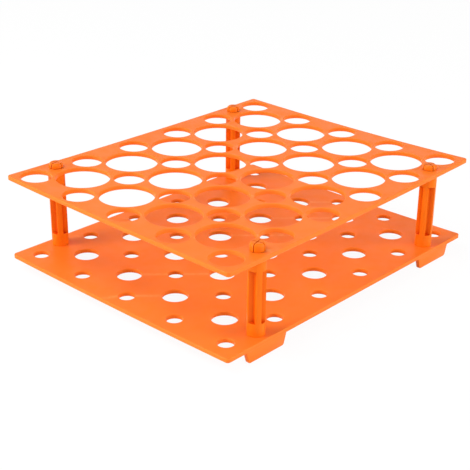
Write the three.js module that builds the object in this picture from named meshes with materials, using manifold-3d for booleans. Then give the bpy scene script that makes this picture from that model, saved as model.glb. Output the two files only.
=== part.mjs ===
// Two-tier rack for centrifuge tubes: two perforated plates on four fluted, snap-in posts.
// Millimetres, +Z up. The origin is the middle of the footprint, on the surface the feet stand on.

import * as THREE from 'three';
import { mergeVertices } from 'three/addons/utils/BufferGeometryUtils.js';
import Module from 'manifold-3d';

const wasm = await Module();
wasm.setup();

// Wells: a grid of small wells, with one large well in the middle of each of its squares
const smallColumns = 6;
const smallRows = 5;
const smallWell = 17.6; // hole in the upper plate that guides a 15 ml tube
const largeWell = 30.4; // hole in the upper plate that guides a 50 ml tube
const wellWeb = 1.8; // plastic left between a small well and the large well beside it
const smallSeat = 9; // hole in the lower plate for the tip of a 15 ml tube
const largeSeat = 14.2; // hole in the lower plate for the tip of a 50 ml tube

// Plates
const plateThickness = 2.5;
const endWall = 2.5; // plastic left between the outer small wells and the short edges
const sideWall = 3.2; // and between them and the long edges
const cornerRadius = 2;
const tierGap = 45.25; // clear height between the plates

// Feet: tapered tabs under the long edges of the lower plate, moulded on
const footHeight = 6.5;
const footLength = 30;
const footThickness = 2.5;
const footTaper = 2; // how much each end of a foot draws in towards the ground
const footCorner = 1;
const rearFootInset = 8; // how much farther in than its post each rear foot stands

// Posts
const postDiameter = 9.6;
const postEndInset = 28.5; // from a short edge of the plates to the post's axis
const postSideInset = 7.8; // from a long edge of the plates to the post's axis
const collarHeight = 7.5; // round length left at each end of the fluted shaft
const armThickness = 3; // arms of the cross that the flutes leave
const pegDiameter = 6.5;
const pegClearance = 0.3; // all round a peg in its hole
const pegRise = 3; // how far a snap peg stands out past its plate
const pegTip = 5.8; // diameter of the flat end of a peg
const barbWidth = 0.8; // how far the barb reaches out past the peg
const barbLand = 0.8; // height of the barb's straight rim
const barbPlay = 0.25; // gap between the barb and the plate it holds
const slitWidth = 1; // the two crossed slits that split a peg into four prongs
const slitDepth = 6; // from the end of the peg

// Each post was pushed in at its own angle, in degrees about its axis
const posts = [
  { name: 'post_front_left', end: -1, side: -1, turn: 58 },
  { name: 'post_front_right', end: 1, side: -1, turn: 19 },
  { name: 'post_rear_left', end: -1, side: 1, turn: 58 },
  { name: 'post_rear_right', end: 1, side: 1, turn: 43 },
];

const plateColour = 0xff7c36;
const postColour = 0xff6a1c;
const chordError = 0.1; // how far a facet may cut inside a round hole

// Worked out from the sizes above
const wellPitch = Math.SQRT2 * (smallWell / 2 + wellWeb + largeWell / 2);
const plateLength = (smallColumns - 1) * wellPitch + smallWell + 2 * endWall;
const plateWidth = (smallRows - 1) * wellPitch + smallWell + 2 * sideWall;
const postX = plateLength / 2 - postEndInset;
const postY = plateWidth / 2 - postSideInset;
const postRadius = postDiameter / 2;
const pegHole = pegDiameter + 2 * pegClearance;
const upperPlateHeight = footHeight + plateThickness + tierGap;

// Solids

function toSolid(geometry) {
  geometry.deleteAttribute('normal');
  geometry.deleteAttribute('uv');
  const merged = mergeVertices(geometry);
  const corners = merged.index.array;
  const triangles = [];
  for (let i = 0; i < corners.length; i += 3) {
    const [a, b, c] = corners.slice(i, i + 3);
    // A lathe leaves triangles of no area where its profile meets the axis
    if (a !== b && b !== c && c !== a) triangles.push(a, b, c);
  }
  const vertProperties = merged.attributes.position.array;
  const triVerts = new Uint32Array(triangles);
  return new wasm.Manifold(new wasm.Mesh({ numProp: 3, vertProperties, triVerts }));
}

function toGeometry(solid) {
  const mesh = solid.getMesh();
  const geometry = new THREE.BufferGeometry();
  geometry.setAttribute('position', new THREE.BufferAttribute(mesh.vertProperties, 3));
  geometry.setIndex(new THREE.BufferAttribute(mesh.triVerts, 1));
  geometry.computeVertexNormals();
  return geometry;
}

// Outlines

function circle(centre, radius) {
  const halfStep = Math.acos(1 - chordError / radius);
  const sides = 4 * Math.ceil(Math.PI / halfStep / 4);
  const points = [];
  for (let i = 0; i < sides; i++) {
    const angle = (2 * Math.PI * i) / sides;
    points.push(new THREE.Vector2(Math.cos(angle), Math.sin(angle)).multiplyScalar(radius).add(centre));
  }
  return new THREE.Path(points);
}

function roundedRectangle(length, width, radius) {
  const x = length / 2 - radius;
  const y = width / 2 - radius;
  const shape = new THREE.Shape();
  shape.absarc(x, y, radius, 0, Math.PI / 2);
  shape.absarc(-x, y, radius, Math.PI / 2, Math.PI);
  shape.absarc(-x, -y, radius, Math.PI, 1.5 * Math.PI);
  shape.absarc(x, -y, radius, 1.5 * Math.PI, 2 * Math.PI);
  shape.closePath();
  return shape;
}

function gridCentres(columns, rows) {
  const centres = [];
  for (let row = 0; row < rows; row++) {
    for (let column = 0; column < columns; column++) {
      const x = (column - (columns - 1) / 2) * wellPitch;
      const y = (row - (rows - 1) / 2) * wellPitch;
      centres.push(new THREE.Vector2(x, y));
    }
  }
  return centres;
}

// Plates: the same outline, well pattern and peg holes, with holes of their own sizes

function perforatedPlate(smallHole, largeHole) {
  const shape = roundedRectangle(plateLength, plateWidth, cornerRadius);
  for (const centre of gridCentres(smallColumns, smallRows)) {
    shape.holes.push(circle(centre, smallHole / 2));
  }
  for (const centre of gridCentres(smallColumns - 1, smallRows - 1)) {
    shape.holes.push(circle(centre, largeHole / 2));
  }
  for (const { end, side } of posts) {
    const centre = new THREE.Vector2(end * postX, side * postY);
    shape.holes.push(circle(centre, pegHole / 2));
  }
  return new THREE.ExtrudeGeometry(shape, {
    depth: plateThickness,
    bevelEnabled: false,
    curveSegments: 3,
  });
}

// A foot is drawn in XZ with its top edge at z = 0, then runs up into the plate to join it
function foot() {
  const top = footLength / 2;
  const bottom = top - footTaper;
  const shape = new THREE.Shape();
  shape.moveTo(top, plateThickness / 2);
  shape.lineTo(-top, plateThickness / 2);
  shape.lineTo(-top, 0);
  shape.lineTo(-bottom, footCorner - footHeight);
  shape.quadraticCurveTo(-bottom, -footHeight, footCorner - bottom, -footHeight);
  shape.lineTo(bottom - footCorner, -footHeight);
  shape.quadraticCurveTo(bottom, -footHeight, bottom, footCorner - footHeight);
  shape.lineTo(top, 0);
  shape.closePath();
  const geometry = new THREE.ExtrudeGeometry(shape, {
    depth: footThickness,
    bevelEnabled: false,
    curveSegments: 4,
  });
  return geometry.rotateX(Math.PI / 2).translate(0, footThickness / 2, 0);
}

function lowerPlate() {
  let solid = toSolid(perforatedPlate(smallSeat, largeSeat));
  for (const { end, side } of posts) {
    const x = end * (side > 0 ? postX - rearFootInset : postX);
    const y = (side * (plateWidth - footThickness)) / 2;
    solid = solid.add(toSolid(foot().translate(x, y, 0)));
  }
  return toGeometry(solid);
}

function upperPlate() {
  return toGeometry(toSolid(perforatedPlate(smallWell, largeWell)));
}

// Posts: a turned profile, fluted between its collars and with a split snap peg at each end

function postProfile() {
  const pegRadius = pegDiameter / 2;
  const barbRadius = pegRadius + barbWidth;
  const shoulder = tierGap / 2;
  const barb = shoulder + plateThickness + barbPlay;
  const tip = shoulder + plateThickness + pegRise;
  const upperHalf = [
    [postRadius, shoulder],
    [pegRadius, shoulder],
    [pegRadius, barb],
    [barbRadius, barb],
    [barbRadius, barb + barbLand],
    [pegTip / 2, tip],
    [0, tip],
  ];
  const lowerHalf = upperHalf.map(([radius, height]) => [radius, -height]).reverse();
  return [...lowerHalf, ...upperHalf].map(([radius, height]) => new THREE.Vector2(radius, height));
}

// One flute is a square bar that takes away a quarter of the shaft between two arms
function flute(quarter) {
  const length = tierGap - 2 * collarHeight;
  const middle = armThickness / 2 + postRadius / 2;
  const bar = new THREE.BoxGeometry(postRadius, postRadius, length);
  return bar.translate(middle, middle, 0).rotateZ((quarter * Math.PI) / 2);
}

// A slit runs across the whole peg, in line with two opposite flutes
function slit(quarter, side) {
  const tip = tierGap / 2 + plateThickness + pegRise;
  const blade = new THREE.BoxGeometry(postDiameter, slitWidth, 2 * slitDepth);
  return blade.rotateZ(((quarter + 0.5) * Math.PI) / 2).translate(0, 0, side * tip);
}

function post() {
  const turned = new THREE.LatheGeometry(postProfile(), 24).rotateX(Math.PI / 2);
  let solid = toSolid(turned);
  for (let quarter = 0; quarter < 4; quarter++) {
    solid = solid.subtract(toSolid(flute(quarter)));
  }
  for (const quarter of [0, 1]) {
    solid = solid.subtract(toSolid(slit(quarter, 1)));
    solid = solid.subtract(toSolid(slit(quarter, -1)));
  }
  return toGeometry(solid);
}

// Assembly

function plastic(colour) {
  return new THREE.MeshStandardMaterial({ color: colour, roughness: 0.45, metalness: 0 });
}

function piece(name, geometry, colour) {
  const mesh = new THREE.Mesh(geometry, plastic(colour));
  mesh.name = name;
  return mesh;
}

const rack = new THREE.Group();

const lower = piece('lower_plate', lowerPlate(), plateColour);
lower.position.z = footHeight;
rack.add(lower);

const upper = piece('upper_plate', upperPlate(), plateColour);
upper.position.z = upperPlateHeight;
rack.add(upper);

for (const { name, end, side, turn } of posts) {
  const mesh = piece(name, post(), postColour);
  mesh.position.set(end * postX, side * postY, upperPlateHeight - tierGap / 2);
  mesh.rotation.z = THREE.MathUtils.degToRad(turn);
  rack.add(mesh);
}

export default rack;
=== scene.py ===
import math
import bpy
from mathutils import Matrix, Vector


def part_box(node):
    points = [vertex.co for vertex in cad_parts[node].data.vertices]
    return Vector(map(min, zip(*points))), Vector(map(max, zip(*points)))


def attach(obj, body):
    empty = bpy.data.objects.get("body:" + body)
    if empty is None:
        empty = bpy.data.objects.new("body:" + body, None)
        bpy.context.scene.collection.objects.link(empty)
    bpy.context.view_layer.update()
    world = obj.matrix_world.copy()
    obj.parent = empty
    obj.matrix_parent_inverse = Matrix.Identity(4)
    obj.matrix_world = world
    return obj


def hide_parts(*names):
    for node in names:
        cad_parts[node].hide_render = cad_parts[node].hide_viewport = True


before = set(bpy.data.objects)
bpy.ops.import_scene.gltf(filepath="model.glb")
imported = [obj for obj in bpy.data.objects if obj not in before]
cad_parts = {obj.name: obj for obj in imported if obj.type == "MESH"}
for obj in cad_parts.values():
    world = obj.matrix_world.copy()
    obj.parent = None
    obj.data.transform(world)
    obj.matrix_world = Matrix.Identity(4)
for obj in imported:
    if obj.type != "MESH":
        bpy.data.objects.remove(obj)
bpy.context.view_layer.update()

print("frame loaded:", len(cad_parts), "nodes")


# helpers for working in edit mode

nearly = 1e-5  # lengths that differ by less are taken as equal
weldReach = 1e-6  # points closer together than this become one
levelNormal = 0.99  # a face whose normal has at least this share of Z is level


def leaveEditMode():
    if bpy.context.object and bpy.context.object.mode != "OBJECT":
        bpy.ops.object.mode_set(mode="OBJECT")


def startPiece(name):
    # an empty mesh at the origin, so what is added in edit mode has its place in the mesh
    leaveEditMode()
    bpy.ops.object.select_all(action="DESELECT")
    bpy.ops.object.add(type="MESH", location=(0, 0, 0))
    piece = bpy.context.object
    piece.name = name
    bpy.ops.object.mode_set(mode="EDIT")
    return piece


def makeActive(piece):
    leaveEditMode()
    bpy.ops.object.select_all(action="DESELECT")
    piece.select_set(True)
    bpy.context.view_layer.objects.active = piece


def selectFaces(piece, wanted):
    bpy.ops.object.mode_set(mode="EDIT")
    bpy.ops.mesh.select_mode(type="FACE")
    bpy.ops.mesh.select_all(action="DESELECT")
    bpy.ops.object.mode_set(mode="OBJECT")
    for face in piece.data.polygons:
        face.select = wanted(face)
    bpy.ops.object.mode_set(mode="EDIT")


def selectEdges(piece, wanted):
    bpy.ops.object.mode_set(mode="EDIT")
    bpy.ops.mesh.select_mode(type="EDGE")
    bpy.ops.mesh.select_all(action="DESELECT")
    bpy.ops.object.mode_set(mode="OBJECT")
    points = piece.data.vertices
    for edge in piece.data.edges:
        edge.select = wanted(*(points[index].co for index in edge.vertices))
    bpy.ops.object.mode_set(mode="EDIT")


def facesLevelWith(height, up):
    # flat faces at one height that look up or down
    def wanted(face):
        return abs(face.center.z - height) < nearly and face.normal.z * up > levelNormal
    return wanted


def extrudeSelected(rise):
    bpy.ops.mesh.extrude_region_move(TRANSFORM_OT_translate={"value": (0, 0, rise)})


def applyBoolean(piece, tool, operation):
    makeActive(piece)
    cut = piece.modifiers.new("cut", "BOOLEAN")
    cut.operation = operation
    cut.solver = "EXACT"
    cut.object = tool
    bpy.ops.object.modifier_apply(modifier=cut.name)
    bpy.data.objects.remove(tool, do_unlink=True)


def finishPiece(piece, smoothAngle):
    makeActive(piece)
    bpy.ops.object.mode_set(mode="EDIT")
    bpy.ops.mesh.select_all(action="SELECT")
    bpy.ops.mesh.remove_doubles(threshold=weldReach)
    bpy.ops.mesh.normals_make_consistent(inside=False)
    bpy.ops.object.mode_set(mode="OBJECT")
    bpy.ops.object.shade_smooth_by_angle(angle=smoothAngle)


# plates: one sheet each, with rounded rims round the outline and every hole

plate = {
    "thickness": 0.0025,
    "endWall": 0.0025,
    "corner": 0.002,
    "cornerSteps": 10,
    "sideCuts": 47,
    "smallColumns": 6,
    "smallRows": 5,
    "smallWell": 0.0176,
    "largeWell": 0.0304,
    "smallSeat": 0.009,
    "largeSeat": 0.0142,
    "pegHole": 0.0071,
    "facet": 0.0010,
    "rimRound": 0.0004,
    "rimSteps": 3,
    "holdingLoop": 0.00025,
    "smoothAngle": math.radians(40),
}
postNodes = ["post_front_left", "post_front_right", "post_rear_left", "post_rear_right"]


def wellCentres(columns, rows, pitch):
    centres = []
    for row in range(rows):
        for column in range(columns):
            centres.append(((column - (columns - 1) / 2) * pitch, (row - (rows - 1) / 2) * pitch))
    return centres


def postCentres():
    centres = []
    for node in postNodes:
        low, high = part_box(node)
        centres.append(((low[0] + high[0]) / 2, (low[1] + high[1]) / 2))
    return centres


def addRim(centre, diameter, height):
    sides = 8 * math.ceil(math.pi * diameter / plate["facet"] / 8)
    bpy.ops.mesh.primitive_circle_add(vertices=sides, radius=diameter / 2, location=(*centre, height))


def roundRims(piece, height, up):
    # rings of faces from the walls to the flat face, then one more that keeps the flat face flat
    selectFaces(piece, facesLevelWith(height, up))
    steps = plate["rimSteps"]
    radius = plate["rimRound"]
    for step in range(steps):
        start = math.pi / 2 * step / steps
        end = math.pi / 2 * (step + 1) / steps
        bpy.ops.mesh.inset(thickness=radius * (math.cos(start) - math.cos(end)),
                           depth=radius * (math.sin(end) - math.sin(start)))
    bpy.ops.mesh.inset(thickness=plate["holdingLoop"], depth=0)


def makePlate(name, node, smallHole, largeHole):
    low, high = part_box(node)
    length = high[0] - low[0]
    width = high[1] - low[1]
    pitch = (length - 2 * plate["endWall"] - plate["smallWell"]) / (plate["smallColumns"] - 1)
    sheetTop = high[2] - plate["rimRound"]

    # outline and holes as wire, filled as one sheet
    piece = startPiece(name)
    bpy.ops.mesh.primitive_plane_add(size=1, location=(0, 0, sheetTop))
    bpy.ops.transform.resize(value=(length, width, 1))
    bpy.ops.mesh.select_mode(type="VERT")
    bpy.ops.mesh.select_all(action="SELECT")
    bpy.ops.mesh.bevel(offset=plate["corner"], segments=plate["cornerSteps"], affect="VERTICES")
    bpy.ops.mesh.delete(type="ONLY_FACE")
    selectEdges(piece, lambda a, b: (a - b).length > width / 2)
    bpy.ops.mesh.subdivide(number_cuts=plate["sideCuts"])
    for centre in wellCentres(plate["smallColumns"], plate["smallRows"], pitch):
        addRim(centre, smallHole, sheetTop)
    for centre in wellCentres(plate["smallColumns"] - 1, plate["smallRows"] - 1, pitch):
        addRim(centre, largeHole, sheetTop)
    for centre in postCentres():
        addRim(centre, plate["pegHole"], sheetTop)
    bpy.ops.mesh.select_all(action="SELECT")
    bpy.ops.mesh.fill(use_beauty=True)

    # walls, with a loop close to each rim
    bpy.ops.mesh.select_all(action="SELECT")
    loop = plate["holdingLoop"]
    wall = plate["thickness"] - 2 * plate["rimRound"]
    for drop in (loop, wall - 2 * loop, loop):
        extrudeSelected(-drop)
    bpy.ops.mesh.select_all(action="SELECT")
    bpy.ops.mesh.normals_make_consistent(inside=False)
    roundRims(piece, sheetTop, 1)
    roundRims(piece, sheetTop - wall, -1)
    finishPiece(piece, plate["smoothAngle"])
    return piece


# bow: each sheet lifts at its edges and sags in the middle, and keeps its height at the posts,
# apart from two where the upper sheet has settled a little

bow = {
    "upperRise": (0.00080, 0.00124),
    "lowerRise": (0, 0.00066),
    "settled": {"post_front_left": 0.0015, "post_rear_right": 0.0003},
    "settledFade": 3,
    "cagePoints": 9,
    "cageReach": 1.5,
    "cageSheets": 4,
}


def settledAt(x, y):
    # each settled post takes its full depth at its own place and nothing at the other three
    total = 0
    for node, (postX, postY) in zip(postNodes, postCentres()):
        depth = bow["settled"].get(node, 0)
        total += depth * (1 + x / postX) / 2 * ((1 + y / postY) / 2) ** bow["settledFade"]
    return total


def bendPlate(piece, node, rise, drop):
    low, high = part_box(node)
    reach = bow["cageReach"]
    length, width = (high[axis] - low[axis] for axis in range(2))
    height = bow["cageSheets"] * plate["thickness"]
    leaveEditMode()
    bpy.ops.object.add(type="LATTICE", location=(0, 0, high[2]))
    cage = bpy.context.object
    cage.scale = (reach * length, reach * width, height)
    cage.data.points_u = cage.data.points_v = bow["cagePoints"]
    cage.data.interpolation_type_u = cage.data.interpolation_type_v = "KEY_CATMULL_ROM"

    # rise holds the lift at the middle of a short edge and of a long edge
    def liftAt(x, y):
        return rise[0] * (2 * x / length) ** 2 + rise[1] * (2 * y / width) ** 2

    level = liftAt(*postCentres()[0])
    for point in cage.data.points:
        x, y = (point.co.x * reach * length, point.co.y * reach * width)
        point.co_deform.z += (liftAt(x, y) - level - drop(x, y)) / height
    makeActive(piece)
    bend = piece.modifiers.new("bend", "LATTICE")
    bend.object = cage
    bpy.ops.object.modifier_apply(modifier=bend.name)
    bpy.data.objects.remove(cage, do_unlink=True)


# feet: tapered tabs under the long edges of the lower plate, in one piece with it

foot = {
    "height": 0.0065,
    "length": 0.030,
    "thickness": 0.0025,
    "taper": 0.002,
    "setBack": 0.00012,
    "cornerRound": 0.0010,
    "cornerSteps": 6,
    "edgeRound": 0.0003,
    "edgeSteps": 2,
    "sunk": 0.0015,
    "rearInset": 0.008,
}


def makeFoot(centre):
    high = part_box("lower_plate")[1]
    side = math.copysign(1, centre[1])
    depth = foot["height"] + foot["sunk"]
    thickness = foot["thickness"] - foot["setBack"]
    inset = foot["rearInset"] if side > 0 else 0
    middleX = centre[0] - math.copysign(inset, centre[0])
    middleY = side * (high[1] - foot["setBack"] - thickness / 2)
    endLength = foot["length"] - 2 * foot["taper"]
    rootLength = endLength + 2 * foot["taper"] * depth / foot["height"]
    piece = startPiece("foot")
    bpy.ops.mesh.primitive_cube_add(size=1, location=(middleX, middleY, depth / 2),
                                    scale=(rootLength, thickness, depth))
    selectFaces(piece, facesLevelWith(0, -1))
    bpy.ops.transform.resize(value=(endLength / rootLength, 1, 1))
    selectEdges(piece, lambda a, b: max(a.z, b.z) < nearly and abs(a.x - b.x) < nearly)
    bpy.ops.mesh.bevel(offset=foot["cornerRound"], segments=foot["cornerSteps"], affect="EDGES")

    # then the edges of the foot's front and back, apart from the root
    selectEdges(piece, lambda a, b: min(a.z, b.z) < depth - nearly and abs(a.y - b.y) < nearly)
    bpy.ops.mesh.bevel(offset=foot["edgeRound"], segments=foot["edgeSteps"], affect="EDGES")
    bpy.ops.object.mode_set(mode="OBJECT")
    return piece


upperPlate = makePlate("upperPlate", "upper_plate", plate["smallWell"], plate["largeWell"])
lowerPlate = makePlate("lowerPlate", "lower_plate", plate["smallSeat"], plate["largeSeat"])
bendPlate(upperPlate, "upper_plate", bow["upperRise"], settledAt)
bendPlate(lowerPlate, "lower_plate", bow["lowerRise"], lambda x, y: 0)
for centre in postCentres():
    applyBoolean(lowerPlate, makeFoot(centre), "UNION")
finishPiece(lowerPlate, plate["smoothAngle"])
for piece, node in ((upperPlate, "upper_plate"), (lowerPlate, "lower_plate")):
    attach(piece, "root")
    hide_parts(node)
    print(piece.name, len(piece.data.polygons), "faces")


# posts: fluted between two collars, with a split snap peg at each end

post = {
    "sides": 64,
    "collar": 0.0075,
    "arm": 0.003,
    "fluteRound": 0.0005,
    "fluteSteps": 4,
    "peg": 0.0065,
    "pegTip": 0.0062,
    "pegCrown": {"diameter": 0.0075, "drop": 0.0006},
    "barbReach": 0.0008,
    "barbLand": 0.0012,
    "barbPlay": 0.00025,
    "slit": 0.0004,
    "slitDepth": 0.006,
    "edgeRound": 0.00022,
    "edgeSteps": 2,
    "edgeAngle": math.radians(35),
    "smoothAngle": math.radians(30),
    "turns": {"post_front_left": 58, "post_front_right": 19, "post_rear_left": 58, "post_rear_right": 43},
}


def raiseCap(rise, fromRadius, toRadius):
    # the selected cap goes up and takes its new radius there
    extrudeSelected(rise)
    bpy.ops.transform.resize(value=(toRadius / fromRadius, toRadius / fromRadius, 1))


def turnedBlank(name, radius, pegBase, shoulders, tips):
    middle = sum(shoulders) / 2
    pegRadius = post["peg"] / 2
    barbRadius = pegRadius + post["barbReach"]
    piece = startPiece(name)
    bpy.ops.mesh.primitive_cylinder_add(vertices=post["sides"], radius=radius,
                                        depth=shoulders[1] - shoulders[0], location=(0, 0, middle))
    for up, shoulder, tip in ((-1, shoulders[0], tips[0]), (1, shoulders[1], tips[1])):
        selectFaces(piece, facesLevelWith(shoulder, up))
        bpy.ops.mesh.inset(thickness=radius - pegRadius, depth=0)
        raiseCap(up * pegBase, pegRadius, pegRadius)
        raiseCap(0, pegRadius, barbRadius)
        raiseCap(up * post["barbLand"], barbRadius, barbRadius)
        crownRadius = post["pegCrown"]["diameter"] / 2
        crownDrop = post["pegCrown"]["drop"]
        coneRise = abs(tip - shoulder) - pegBase - post["barbLand"] - crownDrop
        raiseCap(up * coneRise, barbRadius, crownRadius)
        raiseCap(up * crownDrop, crownRadius, post["pegTip"] / 2)
    return piece


def fluteBar(quarter, radius, middle, length):
    bar = startPiece("fluteBar")
    offset = post["arm"] / 2 + radius / 2
    bpy.ops.mesh.primitive_cube_add(size=1, location=(offset, offset, middle),
                                    scale=(radius, radius, length))
    bpy.ops.mesh.bevel(offset=post["fluteRound"], segments=post["fluteSteps"], affect="EDGES")
    bpy.ops.mesh.select_all(action="SELECT")
    bpy.ops.transform.rotate(value=quarter * math.pi / 2, orient_axis="Z", center_override=(0, 0, 0))
    return bar


def slitBlade(quarter, radius, tip):
    blade = startPiece("slitBlade")
    size = (3 * radius, post["slit"], 2 * post["slitDepth"])
    bpy.ops.mesh.primitive_cube_add(size=1, location=(0, 0, tip), scale=size)
    bpy.ops.mesh.select_all(action="SELECT")
    bpy.ops.transform.rotate(value=(quarter + 0.5) * math.pi / 2, orient_axis="Z",
                             center_override=(0, 0, 0))
    return blade


def makePost():
    low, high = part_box(postNodes[0])
    radius = (high[0] - low[0]) / 2
    shoulders = (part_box("lower_plate")[1][2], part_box("upper_plate")[0][2])
    piece = turnedBlank("post", radius, plate["thickness"] + post["barbPlay"], shoulders, (low[2], high[2]))
    fluteLength = shoulders[1] - shoulders[0] - 2 * post["collar"]
    for quarter in range(4):
        applyBoolean(piece, fluteBar(quarter, radius, sum(shoulders) / 2, fluteLength), "DIFFERENCE")
    for quarter in range(2):
        for tip in (low[2], high[2]):
            applyBoolean(piece, slitBlade(quarter, radius, tip), "DIFFERENCE")
    finishPiece(piece, post["smoothAngle"])

    # every sharp edge gets a small round
    soft = piece.modifiers.new("softEdges", "BEVEL")
    soft.width = post["edgeRound"]
    soft.segments = post["edgeSteps"]
    soft.limit_method = "ANGLE"
    soft.angle_limit = post["edgeAngle"]
    bpy.ops.object.modifier_apply(modifier=soft.name)
    finishPiece(piece, post["smoothAngle"])
    return piece


def settleShoulder(piece, depth):
    # all from above the middle to the barb's underside comes down, and the tip stays
    low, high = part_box(postNodes[0])
    middle = (low[2] + high[2]) / 2
    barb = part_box("upper_plate")[1][2] + post["barbPlay"] + post["barbLand"] / 2
    selectEdges(piece, lambda a, b: min(a.z, b.z) > middle and max(a.z, b.z) < barb)
    bpy.ops.transform.translate(value=(0, 0, -depth))
    bpy.ops.object.mode_set(mode="OBJECT")


def copyPost(model, node):
    makeActive(model)
    bpy.ops.object.duplicate(linked=False)
    piece = bpy.context.object
    settleShoulder(piece, bow["settled"].get(node, 0))
    low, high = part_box(node)
    words = node.split("_")
    piece.name = words[0] + "".join(word.capitalize() for word in words[1:])
    piece.rotation_euler.z = math.radians(post["turns"][node])
    piece.location = ((low[0] + high[0]) / 2, (low[1] + high[1]) / 2, 0)
    bpy.ops.object.transform_apply(location=True, rotation=True, scale=True)
    return piece


postModel = makePost()
postPieces = []
for node in postNodes:
    piece = copyPost(postModel, node)
    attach(piece, "root")
    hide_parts(node)
    postPieces.append(piece)
    print(piece.name, len(piece.data.polygons), "faces")
bpy.data.objects.remove(postModel, do_unlink=True)


# moulded plastic

platePlastic = {
    "colour": (0.95, 0.199, 0.018),
    "deepColour": (0.93, 0.169, 0.010),
    # pale rims, partly wear and partly a painted highlight on the rims and hole walls
    "wearAndHighlightColour": (1.0, 0.33, 0.080),
    "driftScale": 14,
    "roughness": (0.34, 0.50),
    "roughnessScale": 130,
    "grainScale": 1500,
    "grainHeight": 0.000006,
    "waveScale": 26,
    "waveHeight": 0.00025,
    "scatter": 0.06,
    "shine": 0.145,
    "wearAndHighlight": 0.70,
}
postPlastic = {
    "colour": (0.87, 0.177, 0.004),
    "deepColour": (0.85, 0.152, 0.003),
    # pale rims, partly wear and partly a painted highlight
    "wearAndHighlightColour": (0.92, 0.24, 0.030),
    "driftScale": 40,
    "roughness": (0.30, 0.46),
    "roughnessScale": 200,
    "grainScale": 1700,
    "grainHeight": 0.000005,
    "waveScale": 90,
    "waveHeight": 0.00008,
    "scatter": 0.06,
    "shine": 0.12,
    "wearAndHighlight": 0.30,
    # painted shade in the flutes and round the collars and pegs, taken from ambient occlusion
    "recessShade": {"colour": (0.64, 0.032, 0.0002), "reach": 0.006, "open": (0.36, 0.86), "samples": 8},
}
skin = {
    "deepFrom": (0.40, 0.70),
    "deepShare": 0.5,
    "edgeFrom": (0.52, 0.62),
    "patchScale": 300,
    "patchFrom": (0.35, 0.65),
    "patchShare": (0.3, 1),
    "glossFrom": (0.3, 0.7),
    "refraction": 1.49,
    "scatterTint": (1, 0.35, 0.12),
    "scatterDepth": 0.002,
}


def addNode(tree, kind, place, **settings):
    node = tree.nodes.new(kind)
    node.location = place
    for name, value in settings.items():
        setattr(node, name, value)
    return node


def noise(tree, coordinates, scale, detail, place):
    node = addNode(tree, "ShaderNodeTexNoise", place)
    node.inputs["Scale"].default_value = scale
    node.inputs["Detail"].default_value = detail
    tree.links.new(coordinates, node.inputs["Vector"])
    return node.outputs["Fac"]


def mapRange(tree, value, fromRange, toRange, place):
    node = addNode(tree, "ShaderNodeMapRange", place)
    node.inputs["From Min"].default_value, node.inputs["From Max"].default_value = fromRange
    node.inputs["To Min"].default_value, node.inputs["To Max"].default_value = toRange
    tree.links.new(value, node.inputs["Value"])
    return node.outputs["Result"]


def multiply(tree, first, second, place):
    node = addNode(tree, "ShaderNodeMath", place, operation="MULTIPLY")
    tree.links.new(first, node.inputs[0])
    tree.links.new(second, node.inputs[1])
    return node.outputs["Value"]


def mixColours(tree, factor, first, second, place):
    node = addNode(tree, "ShaderNodeMix", place, data_type="RGBA")
    tree.links.new(factor, node.inputs["Factor"])
    for socket, colour in ((node.inputs[6], first), (node.inputs[7], second)):
        if isinstance(colour, tuple):
            socket.default_value = (*colour, 1)
        else:
            tree.links.new(colour, socket)
    return node.outputs[2]


def bump(tree, height, distance, strength, before, place):
    node = addNode(tree, "ShaderNodeBump", place)
    node.inputs["Strength"].default_value = strength
    node.inputs["Distance"].default_value = distance
    tree.links.new(height, node.inputs["Height"])
    if before:
        tree.links.new(before, node.inputs["Normal"])
    return node.outputs["Normal"]


def paintRecessShade(tree, colour, values):
    # painted shade: where the ambient occlusion finds a flute or corner closed in, the colour is painted
    # deeper and little light is mirrored
    openness = addNode(tree, "ShaderNodeAmbientOcclusion", (-200, 900),
                       samples=values["samples"], only_local=True)
    openness.inputs["Distance"].default_value = values["reach"]
    share = mapRange(tree, openness.outputs["AO"], values["open"], (0, 1), (0, 800))
    return share, mixColours(tree, share, values["colour"], colour, (250, 600))


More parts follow.
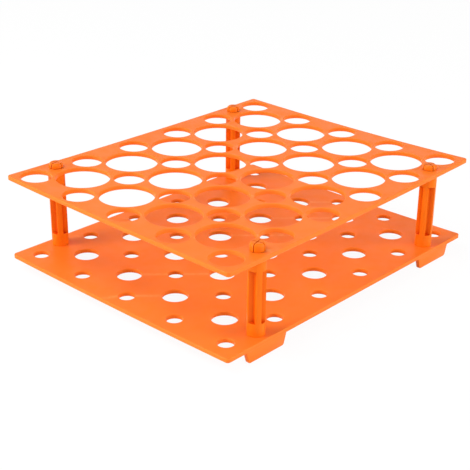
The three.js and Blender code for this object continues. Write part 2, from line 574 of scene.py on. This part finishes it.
def mouldedPlastic(name, values):
    material = bpy.data.materials.new(name)
    material.use_nodes = True
    tree = material.node_tree
    tree.nodes.clear()
    output = addNode(tree, "ShaderNodeOutputMaterial", (900, 0))
    shader = addNode(tree, "ShaderNodeBsdfPrincipled", (600, 0))
    tree.links.new(shader.outputs["BSDF"], output.inputs["Surface"])
    coordinates = addNode(tree, "ShaderNodeTexCoord", (-1400, 0)).outputs["Object"]

    # pigment that isn't quite even, and edges painted pale, partly as wear and partly as a painted
    # highlight along the rims
    drift = noise(tree, coordinates, values["driftScale"], 3, (-1100, 500))
    deep = mapRange(tree, drift, skin["deepFrom"], (0, skin["deepShare"]), (-800, 500))
    colour = mixColours(tree, deep, values["colour"], values["deepColour"], (-500, 500))
    pointiness = addNode(tree, "ShaderNodeNewGeometry", (-1400, 300)).outputs["Pointiness"]
    # rims painted pale: partly wear, partly painted highlight
    edges = mapRange(tree, pointiness, skin["edgeFrom"], (0, values["wearAndHighlight"]), (-1100, 250))
    patches = noise(tree, coordinates, skin["patchScale"], 4, (-1100, 0))
    patches = mapRange(tree, patches, skin["patchFrom"], skin["patchShare"], (-800, 0))
    wearAndHighlightMask = multiply(tree, edges, patches, (-500, 200))
    colour = mixColours(tree, wearAndHighlightMask, colour, values["wearAndHighlightColour"], (-200, 400))
    # painted shade in recesses: a deeper colour and less mirrored light
    if "recessShade" in values:
        share, colour = paintRecessShade(tree, colour, values["recessShade"])
        shine = mapRange(tree, share, (0, 1), (0, values["shine"]), (250, 900))
        tree.links.new(shine, shader.inputs["Specular IOR Level"])
    tree.links.new(colour, shader.inputs["Base Color"])

    # satin skin with a fine grain, over slow waves where the plastic shrank
    gloss = noise(tree, coordinates, values["roughnessScale"], 5, (-1100, -300))
    roughness = mapRange(tree, gloss, skin["glossFrom"], values["roughness"], (-800, -300))
    tree.links.new(roughness, shader.inputs["Roughness"])
    wave = noise(tree, coordinates, values["waveScale"], 1, (-1100, -600))
    grain = noise(tree, coordinates, values["grainScale"], 2, (-1100, -900))
    normal = bump(tree, wave, values["waveHeight"], 1, None, (-200, -600))
    normal = bump(tree, grain, values["grainHeight"], 1, normal, (100, -800))
    tree.links.new(normal, shader.inputs["Normal"])
    shader.inputs["IOR"].default_value = skin["refraction"]
    shader.inputs["Specular IOR Level"].default_value = values["shine"]
    shader.inputs["Subsurface Weight"].default_value = values["scatter"]
    shader.inputs["Subsurface Radius"].default_value = skin["scatterTint"]
    shader.inputs["Subsurface Scale"].default_value = skin["scatterDepth"]
    return material


def dress(piece, material):
    piece.data.materials.clear()
    piece.data.materials.append(material)


plateMaterial = mouldedPlastic("platePlastic", platePlastic)
postMaterial = mouldedPlastic("postPlastic", postPlastic)
for piece in (upperPlate, lowerPlate):
    dress(piece, plateMaterial)
for piece in postPieces:
    dress(piece, postMaterial)
print("materials on")


# studio: a white floor, an even sky, a soft lamp on each side, one higher up and a weak one in front

studio = {
    "floorSize": 8,
    "floorDrop": 0.0002,
    "floorColour": 0.90,
    "floorGlow": 0.92,
    "glowStrength": 1.02,
    "sky": 0.304,
    "backdrop": 1.0,
}


def lightPathRay(tree, place):
    # camera, mirror and glass rays see the plain white backdrop
    path = addNode(tree, "ShaderNodeLightPath", place)
    total = path.outputs["Is Camera Ray"]
    for index, ray in enumerate(("Is Glossy Ray", "Is Transmission Ray")):
        nextPlace = (place[0] + 200 * (index + 1), place[1])
        add = addNode(tree, "ShaderNodeMath", nextPlace, operation="MAXIMUM")
        tree.links.new(total, add.inputs[0])
        tree.links.new(path.outputs[ray], add.inputs[1])
        total = add.outputs["Value"]
    return total


def floorMaterial():
    material = bpy.data.materials.new("floorPaper")
    material.use_nodes = True
    tree = material.node_tree
    tree.nodes.clear()
    output = addNode(tree, "ShaderNodeOutputMaterial", (600, 0))
    paper = addNode(tree, "ShaderNodeBsdfDiffuse", (0, 0))
    paper.inputs["Color"].default_value = (studio["floorColour"],) * 3 + (1,)
    glow = addNode(tree, "ShaderNodeEmission", (0, -200))
    glow.inputs["Color"].default_value = (1, 1, 1, 1)
    glow.inputs["Strength"].default_value = studio["glowStrength"]
    seen = lightPathRay(tree, (-900, 200))
    share = mapRange(tree, seen, (0, 1), (0, studio["floorGlow"]), (-300, 200))
    mix = addNode(tree, "ShaderNodeMixShader", (300, 0))
    tree.links.new(share, mix.inputs[0])
    tree.links.new(paper.outputs["BSDF"], mix.inputs[1])
    tree.links.new(glow.outputs["Emission"], mix.inputs[2])
    tree.links.new(mix.outputs["Shader"], output.inputs["Surface"])
    return material


def makeFloor():
    floor = startPiece("floor")
    bpy.ops.mesh.primitive_plane_add(size=studio["floorSize"], location=(0, 0, -studio["floorDrop"]))
    bpy.ops.object.mode_set(mode="OBJECT")
    dress(floor, floorMaterial())
    return floor


def makeSky():
    world = bpy.data.worlds.new("studioSky")
    bpy.context.scene.world = world
    world.use_nodes = True
    tree = world.node_tree
    tree.nodes.clear()
    output = addNode(tree, "ShaderNodeOutputWorld", (400, 0))
    background = addNode(tree, "ShaderNodeBackground", (200, 0))
    background.inputs["Color"].default_value = (1, 1, 1, 1)
    seen = lightPathRay(tree, (-700, 0))
    strength = mapRange(tree, seen, (0, 1), (studio["sky"], studio["backdrop"]), (0, -100))
    tree.links.new(strength, background.inputs["Strength"])
    tree.links.new(background.outputs["Background"], output.inputs["Surface"])


lamps = {
    "leftLamp": {"from": (-1.17, 0.68, 0.36), "size": 0.6, "watts": 11.5},
    "highLamp": {"from": (-0.61, 0.35, 1.21), "size": 0.6, "watts": 9},
    "rightLamp": {"from": (0.68, -1.17, 0.36), "size": 0.6, "watts": 10.5},
    "frontLamp": {"from": (-0.57, -0.99, 0.80), "size": 0.6, "watts": 4.5},
}


def addLamp(name, values):
    data = bpy.data.lights.new(name, "AREA")
    data.size = values["size"]
    data.energy = values["watts"]
    lamp = bpy.data.objects.new(name, data)
    bpy.context.collection.objects.link(lamp)
    direction = Vector(values["from"])
    lamp.location = direction
    lamp.rotation_euler = direction.to_track_quat("Z", "Y").to_euler()


makeFloor()
makeSky()
for name, values in lamps.items():
    addLamp(name, values)
print("studio set")


# camera, looking down at the corner between the front and the left end

camera = {
    "lens": 83.18,
    "sensor": 36,
    "shift": (-0.0170, 0.0043),
    "place": (-0.43085, -0.39146, 0.27891),
    "heading": 47.773,
    "downTilt": 24.528,
    "roll": 0.867,
    "farthest": 50,
}


def addCamera():
    data = bpy.data.cameras.new("camera")
    data.lens = camera["lens"]
    data.sensor_width = camera["sensor"]
    data.shift_x, data.shift_y = camera["shift"]
    data.clip_end = camera["farthest"]
    item = bpy.data.objects.new("camera", data)
    bpy.context.collection.objects.link(item)
    item.matrix_world = (Matrix.Translation(camera["place"])
                         @ Matrix.Rotation(math.radians(-camera["heading"]), 4, "Z")
                         @ Matrix.Rotation(math.radians(90 - camera["downTilt"]), 4, "X")
                         @ Matrix.Rotation(math.radians(camera["roll"]), 4, "Z"))
    bpy.context.scene.camera = item


addCamera()
bpy.context.scene.view_settings.view_transform = "Standard"
print("camera placed")
